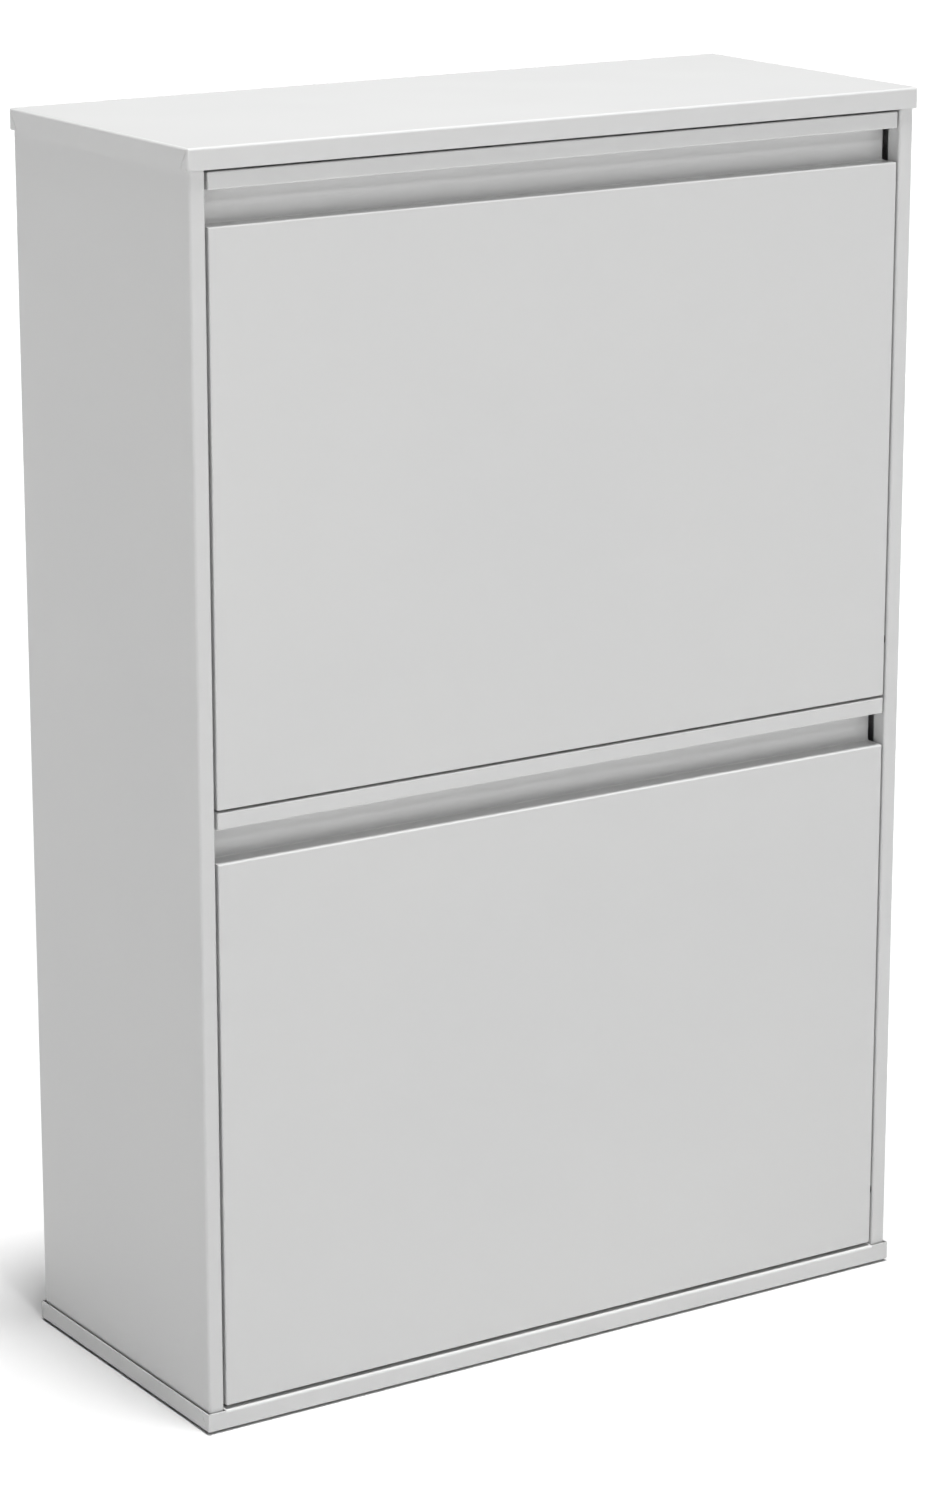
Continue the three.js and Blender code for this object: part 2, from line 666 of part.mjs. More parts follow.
function place(group, name, solid, finish) {
  const { vertProperties, triVerts } = solid.getMesh();
  const geometry = new THREE.BufferGeometry();
  geometry.setAttribute("position", new THREE.BufferAttribute(vertProperties, 3));
  geometry.setIndex(new THREE.BufferAttribute(triVerts, 1));
  geometry.computeVertexNormals();
  const mesh = new THREE.Mesh(geometry, new THREE.MeshStandardMaterial(finish));
  mesh.name = name;
  group.add(mesh);
}

place(cabinet, "lid", lid(), COAT);
place(cabinet, "base", base(), COAT);
place(cabinet, "back_panel", backPanel(), COAT);
place(cabinet, "rear_top_rail", rearRail(), COAT);
place(cabinet, "top_front_rail", frontRail("upper"), COAT);
place(cabinet, "mid_cross_rail", frontRail("lower"), COAT);

for (const [sideName, side] of Object.entries(SIDES)) {
  place(cabinet, sideName + "_side_panel", sidePanel(side), COAT);
  place(cabinet, sideName + "_upright", upright(side), COAT);
  for (const end of ["front", "rear"]) {
    place(cabinet, `glide_${end}_${sideName}`, glide(side, glideY[end]), NYLON);
    place(cabinet, `glide_nut_${end}_${sideName}`, glideNut(side, glideY[end]), ZINC);
    place(cabinet, `lid_nut_${end}_${sideName}`, lidNut(side, lidStudY[end]), ZINC);
  }
  place(cabinet, `back_rivet_low_${sideName}`, backRivet(side, LOW_RIVET_Z), ZINC);
  place(cabinet, `back_rivet_high_${sideName}`, backRivet(side, highRivetZ), ZINC);
}

for (const [flap, pivotZ] of Object.entries(FLAPS)) {
  const moving = new THREE.Group();
  moving.position.set(0, pivotY, pivotZ);
  cabinet.add(moving);
  place(moving, flap + "_door", door(), COAT);
  place(moving, flap + "_shoe_tray", shoeTray(), COAT);
  place(moving, flap + "_divider", divider(), COAT);
  for (const [sideName, side] of Object.entries(SIDES)) {
    const name = (piece) => `${flap}_${sideName}_${piece}`;
    place(moving, name("cheek"), cheek(side), COAT);
    place(moving, name("pivot_pin"), pivotPin(side), ZINC);
    place(cabinet, name("pivot_bush"), bush(side, pivotZ), NYLON);
    place(cabinet, name("stop_pin"), stopPin(side, pivotZ), ZINC);
    place(cabinet, name("stop_sleeve"), stopSleeve(side, pivotZ), NYLON);
    place(cabinet, name("bumper"), bumper(side, flap), RUBBER);
    place(cabinet, name("rail_screw"), railScrew(side, flap), ZINC);
  }
}

export default cabinet;
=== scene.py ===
"""The looks of a steel shoe cabinet with two tip-out flaps, around its CAD frame.

Every sheet is cut, folded and rounded here at its real thickness, and every screw, pin, bush and
foot is turned from a profile. Lengths are millimetres until a piece is finished, then metres.
+Z is up, the doors face -Y, and the origin is on the floor below the middle of the cabinet.
"""

import json
import math

import bmesh
import bpy
from mathutils import Matrix, Vector

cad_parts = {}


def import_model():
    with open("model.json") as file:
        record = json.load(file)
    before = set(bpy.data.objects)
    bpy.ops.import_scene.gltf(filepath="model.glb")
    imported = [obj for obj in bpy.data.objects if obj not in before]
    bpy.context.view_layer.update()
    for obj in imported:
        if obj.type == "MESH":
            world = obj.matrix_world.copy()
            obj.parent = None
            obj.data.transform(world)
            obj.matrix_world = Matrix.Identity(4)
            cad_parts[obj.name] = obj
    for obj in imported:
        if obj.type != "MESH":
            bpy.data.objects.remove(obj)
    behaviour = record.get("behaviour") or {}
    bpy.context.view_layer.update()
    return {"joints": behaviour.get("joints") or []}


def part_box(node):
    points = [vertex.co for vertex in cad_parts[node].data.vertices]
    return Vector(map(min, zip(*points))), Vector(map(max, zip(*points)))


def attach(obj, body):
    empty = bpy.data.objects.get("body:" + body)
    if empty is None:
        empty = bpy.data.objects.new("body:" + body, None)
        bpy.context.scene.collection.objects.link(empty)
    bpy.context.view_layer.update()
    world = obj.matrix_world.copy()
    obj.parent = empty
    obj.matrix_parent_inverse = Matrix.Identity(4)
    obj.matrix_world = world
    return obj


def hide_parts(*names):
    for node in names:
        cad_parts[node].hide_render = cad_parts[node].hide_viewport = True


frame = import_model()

MM = 0.001

# Sheets, folds and clearances, as in the CAD
SHEET = 0.8
BACK_SHEET = 0.6
UPRIGHT_SHEET = 1.0
FOLD = 1.2  # inside radius
OUTER_FOLD = FOLD + SHEET
TIGHT_FOLD = 0.4  # inside radius of the doors' tighter folds
FIT = 0.3
EDGE = 0.16  # how far the coat rounds a cut edge

# Radii of the holes
M4_HOLE = 2.3
M6_HOLE = 3.3
PIN_HOLE = 3.3
BUSH_HOLE = 4.7
STOP_HOLE = 2.8
WALL_HOLE = 4
WALL_HOLE_IN_BACK = 6

# Steps along curves
FOLD_STEPS = 7
CORNER_STEPS = 6
ROUND_SIDES = 40
ARC_STEPS = 48
SMOOTH_BELOW = math.radians(32)
WELDS = (0.0005, 0.001, 0.002, 0.004, 0.0001)  # how near corners are welded, tried in turn

SIDES = {"left": -1, "right": 1}
FLAPS = ("lower", "upper")


# Places in the frame

def reach(node):
    """The (low, high) span of a CAD node along x, y and z."""
    low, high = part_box(node)
    return [(a / MM, b / MM) for a, b in zip(low, high)]


def middle(node):
    return [(a + b) / 2 for a, b in reach(node)]


def outward(node):
    """How far a piece reaches from the middle of the cabinet along x: (near, far)."""
    low, high = sorted(abs(x) for x in reach(node)[0])
    return low, high


LID_X, LID_Y, LID_Z = reach("lid")
BASE_X, BASE_Y, BASE_Z = reach("base")
PANEL_INNER, PANEL_X = outward("right_side_panel")
PANEL_Y, PANEL_Z = reach("right_side_panel")[1:]
UPRIGHT_X = outward("right_upright")[0]
FLANGE_X = UPRIGHT_X - SHEET - FIT
FRONT, REAR = PANEL_Y
PIVOT = {}
for joint in frame["joints"]:
    for flap in FLAPS:
        if joint["name"].startswith(flap):
            PIVOT[flap] = (joint["pos_m"][1] / MM, joint["pos_m"][2] / MM)

# Features that the CAD's boxes don't give
BASE_RETURN = 14
FRONT_RETURN = 13
REAR_FLANGE = 16
END_FLANGE_INSET = (18, 5)
UPRIGHT_FOOT = 14
NOTCH_BEHIND = 14
NOTCH_MARGIN = 4
STRIP = 12
DOOR_RETURN = 15
RECESS = 24.5
RAIL_DEPTH = 20
RAIL_TAB_MARGIN = 3
REAR_RAIL_LIP = 7.5
WALL_HOLE_X = 200
WALL_HOLE_DROP = 25
PRESS_DEPTH = 4
PRESS_MARGIN = 32
HEM = 8
TRAY_LIP = 19
TRAY_END_FLANGE = 15
CHEEK_FLANGE = 12
OPEN_ANGLE = math.radians(48)


# Solids

def link(mesh):
    piece = bpy.data.objects.new("work", mesh)
    bpy.context.scene.collection.objects.link(piece)
    return piece


def solid(vertices, faces):
    """A closed mesh whose faces all look outwards."""
    made = bmesh.new()
    corners = [made.verts.new(v) for v in vertices]
    for face in faces:
        made.faces.new([corners[i] for i in face])
    bmesh.ops.recalc_face_normals(made, faces=made.faces)
    mesh = bpy.data.meshes.new("work")
    made.to_mesh(mesh)
    made.free()
    return link(mesh)


def loft(rings, closed=False):
    """A solid through rings of equally many points. Its ends are capped unless they are joined."""
    count = len(rings[0])
    vertices = [v for ring in rings for v in ring]
    faces = []
    for i in range(len(rings) - (0 if closed else 1)):
        a, b = i * count, (i + 1) % len(rings) * count
        for j in range(count):
            k = (j + 1) % count
            faces.append((a + j, a + k, b + k, b + j))
    if not closed:
        faces.append(tuple(range(count)))
        faces.append(tuple(range(len(vertices) - count, len(vertices))))
    return solid(vertices, faces)


def along(axis, u, v, w):
    """The point (u, v) of an outline drawn across an axis, at w along it."""
    return {"x": (w, u, v), "y": (u, w, v), "z": (u, v, w)}[axis]


def prism(axis, outline, span):
    """An outline in (y, z), (x, z) or (x, y), drawn out along x, y or z."""
    return loft([[along(axis, u, v, w) for u, v in outline] for w in span])


def block(x, y, z):
    return prism("z", [(x[0], y[0]), (x[1], y[0]), (x[1], y[1]), (x[0], y[1])], z)


def turned(axis, profile, centre, sides=ROUND_SIDES, hollow=False):
    """A profile of (place along the axis, radius) points, turned about it."""
    rings = []
    for w, radius in profile:
        ring = []
        for i in range(sides):
            angle = 2 * math.pi * i / sides
            u = centre[0] + radius * math.cos(angle)
            v = centre[1] + radius * math.sin(angle)
            ring.append(along(axis, u, v, w))
        rings.append(ring)
    return loft(rings, closed=hollow)


def bar(axis, radius, span, centre, sides=ROUND_SIDES):
    return turned(axis, [(span[0], radius), (span[1], radius)], centre, sides)


def combined(first, others, operation):
    for other in others:
        modifier = first.modifiers.new("combine", "BOOLEAN")
        modifier.solver = "MANIFOLD"
        modifier.operation = operation
        modifier.object = other
    graph = bpy.context.evaluated_depsgraph_get()
    mesh = bpy.data.meshes.new_from_object(first.evaluated_get(graph))
    for used in (first, *others):
        old = used.data
        bpy.data.objects.remove(used)
        bpy.data.meshes.remove(old)
    return link(mesh)


def join(first, *others):
    return combined(first, others, "UNION")


def cut(first, *tools):
    return combined(first, tools, "DIFFERENCE")


def common(first, *others):
    return combined(first, others, "INTERSECT")


# Outlines

def rounded(points, steps=CORNER_STEPS):
    """A closed outline. A point with a third number is a corner of that radius."""
    outline = []
    for i, point in enumerate(points):
        corner = Vector(point[:2])
        radius = point[2] if len(point) > 2 else 0
        if not radius:
            outline.append(tuple(corner))
            continue
        back = (Vector(points[i - 1][:2]) - corner).normalized()
        ahead = (Vector(points[(i + 1) % len(points)][:2]) - corner).normalized()
        half = back.angle(ahead) / 2
        centre = corner + (back + ahead).normalized() * radius / math.sin(half)
        start = corner + back * radius / math.tan(half) - centre
        end = corner + ahead * radius / math.tan(half) - centre
        turn = start.angle_signed(end)
        for step in range(steps + 1):
            outline.append(tuple(centre + Matrix.Rotation(-turn * step / steps, 2) @ start))
    return outline


def rectangle(u, v, radius=0, steps=CORNER_STEPS):
    corners = [(u[0], v[0]), (u[1], v[0]), (u[1], v[1]), (u[0], v[1])]
    return rounded([(a, b, radius) for a, b in corners], steps)


def folded_faces(points, side, thickness=SHEET):
    """Both faces of a folded sheet, whose first face would meet at these points in sharp folds.
    The sheet is to the left of that face (side 1) or to its right (side -1). A point with a third
    number has its own inside radius."""
    first, second = [], []

    def add(x, y, heading):
        first.append((x, y))
        second.append((x - side * thickness * math.sin(heading), y + side * thickness * math.cos(heading)))

    headings = [math.atan2(b[1] - a[1], b[0] - a[0]) for a, b in zip(points, points[1:])]
    add(*points[0][:2], headings[0])
    for (x, y, *own), heading, following in zip(points[1:-1], headings, headings[1:]):
        turn = math.remainder(following - heading, 2 * math.pi)
        way = math.copysign(1, turn)
        radius = own[0] if own else FOLD
        if way == side:
            radius += thickness
        setback = radius * math.tan(abs(turn) / 2)
        centre_x = x - setback * math.cos(heading) - way * radius * math.sin(heading)
        centre_y = y - setback * math.sin(heading) + way * radius * math.cos(heading)
        for step in range(FOLD_STEPS + 1):
            angle = heading + turn * step / FOLD_STEPS
            add(centre_x + way * radius * math.sin(angle), centre_y - way * radius * math.cos(angle), angle)
    add(*points[-1][:2], headings[-1])
    return first, second


def folded(axis, points, side, span, thickness=SHEET):
    first, second = folded_faces(points, side, thickness)
    return prism(axis, first + second[::-1], span)


def mirrored(side, near, far):
    """The low and high ends of a span of x on one side of the middle."""
    return (near, far) if side > 0 else (-far, -near)


# Sheet pieces

def filled_pan(x, y, edge, flat, corner, inset):
    """The solid block that a pan is wrapped around, or is wrapped by."""
    up = 1 if edge > flat else -1
    past = edge + up
    x = (x[0] + inset, x[1] - inset)
    y = (y[0] + inset, y[1] - inset)
    flat += up * inset
    radius = OUTER_FOLD - inset
    across_x = [(x[0], past), (x[0], flat, radius), (x[1], flat, radius), (x[1], past)]
    across_y = [(y[0], past), (y[0], flat, radius), (y[1], flat, radius), (y[1], past)]
    plan = rectangle(x, y, max(corner - inset, 0.3))
    return common(
        prism("z", plan, sorted((flat, past))),
        prism("y", rounded(across_x, FOLD_STEPS), (y[0] - 1, y[1] + 1)),
        prism("x", rounded(across_y, FOLD_STEPS), (x[0] - 1, x[1] + 1)),
    )


def pan(x, y, edge, flat, corner):
    """A rectangular tray from z = flat to the edge of its four flanges."""
    shell = cut(filled_pan(x, y, edge, flat, corner, 0), filled_pan(x, y, edge, flat, corner, SHEET))
    margin = 1
    return common(
        shell, block((x[0] - margin, x[1] + margin), (y[0] - margin, y[1] + margin), sorted((edge, flat)))
    )


def seam(side, start, end, width=0.35, depth=0.3):
    """A groove in the outer face of a lid's or base's side flange, between two (y, z) points."""
    start, end = Vector(start), Vector(end)
    run = (end - start).normalized() * width / 2
    across = Vector((-run.y, run.x))
    outline = [start + across, start - across, end - across, end + across]
    outer = BASE_X[1]
    return prism("x", [tuple(p) for p in outline], mirrored(side, outer - depth, outer + 1))


def off_corner(axis, corner, ways, radius, span):
    """What rounding a corner of a flange takes away. The ways point into the flange."""
    outline = []
    for step in range(CORNER_STEPS + 1):
        angle = math.pi / 2 * step / CORNER_STEPS
        outline.append((
            corner[0] + ways[0] * radius * (1 - math.cos(angle)),
            corner[1] + ways[1] * radius * (1 - math.sin(angle)),
        ))
    outline += [
        (corner[0] + ways[0] * radius, corner[1] - ways[1]),
        (corner[0] - ways[0], corner[1] - ways[1]),
        (corner[0] - ways[0], corner[1] + ways[1] * radius),
    ]
    return prism(axis, outline, span)


def thread(radius, start, end, pitch):
    """A turned profile with ridges, between two places along a screw."""
    count = int(abs(end - start) / pitch)
    step = (end - start) / count
    depth = 0.3 * pitch
    profile = [(start, radius - depth)]
    for i in range(count):
        profile.append((start + step * (i + 0.35), radius))
        profile.append((start + step * (i + 0.65), radius))
        profile.append((start + step * (i + 1), radius - depth))
    return profile


def lid():
    shell = pan(LID_X, LID_Y, LID_Z[0], LID_Z[1], 1.6)
    tools = []
    for side in SIDES.values():
        for y, way in ((LID_Y[0], 1), (LID_Y[1], -1)):
            tools.append(seam(side, (y + way * 1.2, LID_Z[1] - 1), (y + way * 11, LID_Z[0] - 1)))
        front = (LID_Y[0] - 1, LID_Y[0] + OUTER_FOLD)
        tools.append(off_corner("y", (side * LID_X[1], LID_Z[0]), (-side, 1), 2, front))
        flange_x = mirrored(side, LID_X[1] - OUTER_FOLD, LID_X[1] + 1)
        tools.append(off_corner("x", (LID_Y[1], LID_Z[0]), (-1, 1), 3, flange_x))
    shell = cut(shell, *tools)
    studs = []
    for side in SIDES:
        for end in ("front", "rear"):
            x, y, _ = middle(f"lid_nut_{end}_{side}")
            bottom = reach(f"lid_nut_{end}_{side}")[2][0] - 2
            profile = thread(2, bottom, LID_Z[1] - SHEET - 1, 0.7)
            profile += [(LID_Z[1] - SHEET - 0.6, 2), (LID_Z[1] - SHEET / 2, 2)]
            studs.append(turned("z", profile, (x, y), 24))
    return join(shell, *studs)


def base():
    shell = pan(BASE_X, BASE_Y, BASE_Z[1], BASE_Z[0], 0.9)
    return_x = FLANGE_X - 2 * FIT
    half_up = (BASE_Z[0] + BASE_Z[1]) / 2
    window = block((-return_x, return_x), (BASE_Y[0] - 1, BASE_Y[0] + 2 * SHEET), (half_up, BASE_Z[1] + 1))
    front = folded(
        "x",
        [(BASE_Y[0], half_up - 2), (BASE_Y[0], BASE_Z[1]), (BASE_Y[0] + BASE_RETURN, BASE_Z[1])],
        -1,
        (-return_x, return_x),
    )
    tools = []
    for name, side in SIDES.items():
        for y, way in ((BASE_Y[0], 1), (BASE_Y[1], -1)):
            tools.append(seam(side, (y + way * 12, BASE_Z[1] + 1), (y + way * 1.2, BASE_Z[0] + 1)))
        for end in ("front", "rear"):
            x, y, _ = middle(f"glide_{end}_{name}")
            tools.append(bar("z", M6_HOLE, (0, BASE_Z[0] + 2 * SHEET), (x, y)))
    return cut(join(cut(shell, window), front), *tools)


def side_panel(name):
    side = SIDES[name]
    section = [
        (side * (PANEL_X - REAR_FLANGE), REAR),
        (side * PANEL_X, REAR),
        (side * PANEL_X, FRONT),
        (side * FLANGE_X, FRONT),
        (side * FLANGE_X, FRONT + FRONT_RETURN),
    ]
    wall = folded("z", section, -side, PANEL_Z)
    ends = folded(
        "y",
        [
            (side * PANEL_INNER, PANEL_Z[0]),
            (side * PANEL_X, PANEL_Z[0]),
            (side * PANEL_X, PANEL_Z[1]),
            (side * PANEL_INNER, PANEL_Z[1]),
        ],
        side,
        (FRONT + END_FLANGE_INSET[0], REAR - END_FLANGE_INSET[1]),
    )
    holes = []
    for end in ("front", "rear"):
        x, y, _ = middle(f"lid_nut_{end}_{name}")
        holes.append(bar("z", M4_HOLE, (PANEL_Z[1] - 2 * SHEET, PANEL_Z[1] + 1), (x, y)))
        x, y, _ = middle(f"glide_{end}_{name}")
        holes.append(bar("z", M6_HOLE, (PANEL_Z[0] - 1, PANEL_Z[0] + 2 * SHEET), (x, y)))
    for height in ("low", "high"):
        x, _, z = middle(f"back_rivet_{height}_{name}")
        holes.append(bar("y", M4_HOLE, (REAR - 2 * SHEET, REAR + 1), (x, z)))
    for flap in FLAPS:
        radius = (reach(f"{flap}_{name}_pivot_bush")[2][1] - PIVOT[flap][1]) + 2 * FIT
        holes.append(bar("x", radius, mirrored(side, FLANGE_X - 1, UPRIGHT_X), PIVOT[flap]))
    return cut(join(wall, ends), *holes)


def upright(name):
    side = SIDES[name]
    y, z = reach(f"{name}_upright")[1:]
    foot_x = outward(f"{name}_upright")[1] - UPRIGHT_SHEET
    section = [
        (side * UPRIGHT_X, y[0]),
        (side * UPRIGHT_X, y[1] - UPRIGHT_FOOT),
        (side * foot_x, y[1] - UPRIGHT_FOOT),
        (side * foot_x, y[1]),
    ]
    plate = folded("z", section, -side, z, UPRIGHT_SHEET)
    through = mirrored(side, UPRIGHT_X - 1, UPRIGHT_X + 2 * UPRIGHT_SHEET)
    holes = []
    for flap in FLAPS:
        holes.append(bar("x", BUSH_HOLE, through, PIVOT[flap]))
        holes.append(bar("x", STOP_HOLE, through, middle(f"{flap}_{name}_stop_pin")[1:]))
        holes.append(bar("x", M4_HOLE, through, middle(f"{flap}_{name}_rail_screw")[1:]))
        strip_z = reach(f"{flap}_door")[2][1] - STRIP
        notch_z = (strip_z - RECESS - NOTCH_MARGIN, strip_z + NOTCH_MARGIN)
        notch_y = (FRONT, reach("mid_cross_rail")[1][0] + NOTCH_BEHIND)
        holes.append(block(through, notch_y, notch_z))
    return cut(plate, *holes)


def front_rail(node, flap):
    x, y, z = reach(node)
    channel = folded(
        "x",
        [(y[0] + RAIL_DEPTH, z[1]), (y[0], z[1]), (y[0], z[0]), (y[0] + RAIL_DEPTH, z[0])],
        1,
        x,
    )
    tab_z = (z[0] + RAIL_TAB_MARGIN, z[1] - RAIL_TAB_MARGIN)
    tabs = folded("z", [(x[0], y[1]), (x[0], y[0]), (x[1], y[0]), (x[1], y[1])], 1, tab_z)
    holes = []
    for name, side in SIDES.items():
        bx, _, bz = middle(f"{flap}_{name}_bumper")
        holes.append(bar("y", M4_HOLE, (y[0] - 1, y[0] + 3 * SHEET), (bx, bz)))
        centre = middle(f"{flap}_{name}_rail_screw")[1:]
        holes.append(bar("x", M4_HOLE, mirrored(side, x[1] - 2 * SHEET, x[1] + 1), centre))
    return cut(join(channel, tabs), *holes)


def rear_rail():
    x, y, z = reach("rear_top_rail")
    rail = folded("x", [(y[0], z[1]), (y[1], z[1]), (y[1], z[0]), (y[1] - REAR_RAIL_LIP, z[0])], -1, x)
    holes = []
    for name, side in SIDES.items():
        centre = (side * WALL_HOLE_X, LID_Z[1] - WALL_HOLE_DROP)
        holes.append(bar("y", WALL_HOLE, (y[1] - 2 * SHEET, y[1] + 1), centre))
        rx, _, rz = middle(f"back_rivet_high_{name}")
        holes.append(bar("y", M4_HOLE, (y[1] - 2 * SHEET, y[1] + 1), (rx, rz)))
    return cut(rail, *holes)


def back_panel():
    """A flat sheet with a field pressed forwards, round at its corners and along its slopes."""
    x, y, z = reach("back_panel")
    front = y[1] - BACK_SHEET
    rail_bottom = reach("rear_top_rail")[2][0]
    field_x = (x[0] + PRESS_MARGIN, x[1] - PRESS_MARGIN)
    field_z = (z[0] + PRESS_MARGIN, rail_bottom - PRESS_MARGIN / 2)
    steps = 8

    def faces(surface):
        rings = [[along("y", u, v, surface) for u, v in rectangle(x, z, 0.6, 8)]]
        for step in range(steps + 1):
            share = step / steps
            inset = share * (PRESS_DEPTH + 2)
            depth = PRESS_DEPTH * share * share * (3 - 2 * share)
            inner_x = (field_x[0] + inset, field_x[1] - inset)
            inner_z = (field_z[0] + inset, field_z[1] - inset)
            outline = rectangle(inner_x, inner_z, 16 - inset, 8)
            rings.append([along("y", u, v, surface - depth) for u, v in outline])
        return rings

    panel = loft(faces(front)[::-1] + faces(front + BACK_SHEET))
    holes = []
    for name, side in SIDES.items():
        centre = (side * WALL_HOLE_X, LID_Z[1] - WALL_HOLE_DROP)
        holes.append(bar("y", WALL_HOLE_IN_BACK, (front - 1, y[1] + 1), centre))
        for height in ("low", "high"):
            rx, _, rz = middle(f"back_rivet_{height}_{name}")
            holes.append(bar("y", M4_HOLE, (front - 1, y[1] + 1), (rx, rz)))
    return cut(panel, *holes)


def rounded_block(x, y, z, radius):
    """A block with every edge rounded."""
    piece = block(x, y, z)
    made = bmesh.new()
    made.from_mesh(piece.data)
    bmesh.ops.bevel(
        made, geom=made.edges, offset=radius, segments=CORNER_STEPS, profile=0.5, affect="EDGES"
    )
    made.to_mesh(piece.data)
    made.free()
    return piece


def door_pan(x, y0, depth, z):
    """The face and the four returns of a pan that opens backwards."""
    far = y0 + depth + 3 * OUTER_FOLD
    outer = rounded_block(x, (y0, far), z, TIGHT_FOLD + SHEET)
    inner_x = (x[0] + SHEET, x[1] - SHEET)
    inner_z = (z[0] + SHEET, z[1] - SHEET)
    inner = rounded_block(inner_x, (y0 + SHEET, far + SHEET + 1), inner_z, TIGHT_FOLD)
    kept = block((x[0] - 1, x[1] + 1), (y0 - 1, y0 + depth), (z[0] - 1, z[1] + 1))
    return common(cut(outer, inner), kept)


def door(flap):
    x, y, z = reach(f"{flap}_door")
    recess_y = y[1] - SHEET
    strip_z = z[1] - STRIP
    main_z = strip_z - RECESS
    # The fold at the front of main_z is wider inside. Outside, the main pan gives it the tight radius.
    section = [
        (y[0] + DOOR_RETURN, z[0]),
        (y[0], z[0], TIGHT_FOLD),
        (y[0], main_z),
        (recess_y, main_z),
        (recess_y, strip_z, TIGHT_FOLD),
        (y[0], strip_z, TIGHT_FOLD),
        (y[0], z[1], TIGHT_FOLD),
        (recess_y, z[1]),
    ]
    far = y[1] + 3 * OUTER_FOLD
    edge = TIGHT_FOLD + SHEET
    ends = join(
        rounded_block(x, (y[0], far), (z[0], main_z), edge),
        rounded_block(x, (y[0], far), (strip_z, z[1]), edge),
        block(x, (y[0] + edge, far - edge), (main_z - OUTER_FOLD, strip_z + edge)),
    )
    face = common(folded("x", section, -1, x), ends)
    sheet = join(
        face,
        door_pan(x, y[0], DOOR_RETURN, (z[0], main_z)),
        door_pan(x, y[0], recess_y - y[0], (strip_z, z[1])),
    )
    holes = [
        bar("x", PIN_HOLE, mirrored(side, x[1] - 2 * SHEET, x[1] + 1), PIVOT[flap])
        for side in SIDES.values()
    ]
    return cut(sheet, *holes)


def arc(centre, radius, start, end, steps):
    return [
        (
            centre[0] + radius * math.cos(start + (end - start) * i / steps),
            centre[1] + radius * math.sin(start + (end - start) * i / steps),
        )
        for i in range(steps + 1)
    ]


def cheek(flap, name):
    """A quadrant plate with a flange behind the door and a curved slot for the stop's sleeve."""
    side = SIDES[name]
    y, z = reach(f"{flap}_{name}_cheek")[1:]
    plate_x = outward(f"{flap}_{name}_cheek")[1]
    pivot = PIVOT[flap]
    radius = math.hypot(y[0] - pivot[0], z[1] - pivot[1])
    start = math.acos((y[1] - pivot[0]) / radius)
    end = math.acos((y[0] - pivot[0]) / radius)
    outline = rounded([(y[0], z[0], 3), (y[1], z[0], 6)] + arc(pivot, radius, start, end, ARC_STEPS))
    plate = prism("x", outline, mirrored(side, plate_x - SHEET, plate_x))
    flange_z = (pivot[1] + CHEEK_FLANGE, z[1] - 2 * CHEEK_FLANGE)
    section = [
        (side * plate_x, y[0] + CHEEK_FLANGE),
        (side * plate_x, y[0]),
        (side * (plate_x - CHEEK_FLANGE), y[0]),
    ]
    flange = folded("z", section, -side, flange_z)
    corner = block(
        mirrored(side, plate_x - OUTER_FOLD, plate_x + 1), (y[0] - 1, y[0] + OUTER_FOLD), flange_z
    )
    stop_y, stop_z = middle(f"{flap}_{name}_stop_sleeve")[1:]
    stop = math.atan2(stop_z - pivot[1], stop_y - pivot[0])
    run = math.hypot(stop_y - pivot[0], stop_z - pivot[1])
    half = 5
    spare = 0.2 / run
    closed, opened = stop - spare, stop - OPEN_ANGLE + spare
    at = lambda angle: (pivot[0] + run * math.cos(angle), pivot[1] + run * math.sin(angle))
    slot = (
        arc(pivot, run + half, opened, closed, ARC_STEPS)
        + arc(at(closed), half, closed, closed + math.pi, 12)[1:-1]
        + arc(pivot, run - half, closed, opened, ARC_STEPS)
        + arc(at(opened), half, opened + math.pi, opened + 2 * math.pi, 12)[1:-1]
    )
    through = mirrored(side, plate_x - 2 * SHEET, plate_x + 1)
    return cut(
        join(cut(plate, corner), flange), prism("x", slot, through), bar("x", PIN_HOLE, through, pivot)
    )


def shoe_tray(flap):
    x, y, z = reach(f"{flap}_shoe_tray")
    section = [(y[0], z[0] + TRAY_LIP), (y[0], z[0]), (y[1], z[0]), (y[1], z[1]), (y[1] - HEM, z[1])]
    floor = folded("x", section, 1, x)
    edge = z[0] + TRAY_END_FLANGE
    end_y = (PIVOT[flap][0] + 12, y[1] - 12)
    ends = folded("y", [(x[0], edge), (x[0], z[0]), (x[1], z[0]), (x[1], edge)], 1, end_y)
    corners = [
        block(mirrored(side, x[1] - OUTER_FOLD, x[1] + 1), end_y, (z[0] - 1, z[0] + SHEET / 2 + 1))
        for side in SIDES.values()
    ]
    return join(cut(floor, *corners), ends)


def divider(flap):
    x, y, z = reach(f"{flap}_divider")
    section = [(y[0], z[0]), (y[1], z[0]), (y[1], z[1]), (y[1] - HEM, z[1])]
    return folded("x", section, 1, x)


# Turned and hexagonal pieces

def nut(node, bore, pitch):
    """A hexagon nut with both faces chamfered and a threaded bore."""
    x, y, z = reach(node)
    centre = middle(node)[:2]
    corner = max(x[1] - x[0], y[1] - y[0]) / 2
    flat = corner * math.cos(math.pi / 6)
    hexagon = bar("z", corner, z, centre, 6)
    rim = 0.58 * (corner - flat)
    chamfered = turned(
        "z",
        [(z[0], flat * 0.96), (z[0] + rim, corner), (z[1] - rim, corner), (z[1], flat * 0.96)],
        centre,
    )
    hole = turned("z", thread(bore, z[0] - 1, z[1] + 1, pitch), centre, 24)
    return cut(common(hexagon, chamfered), hole)


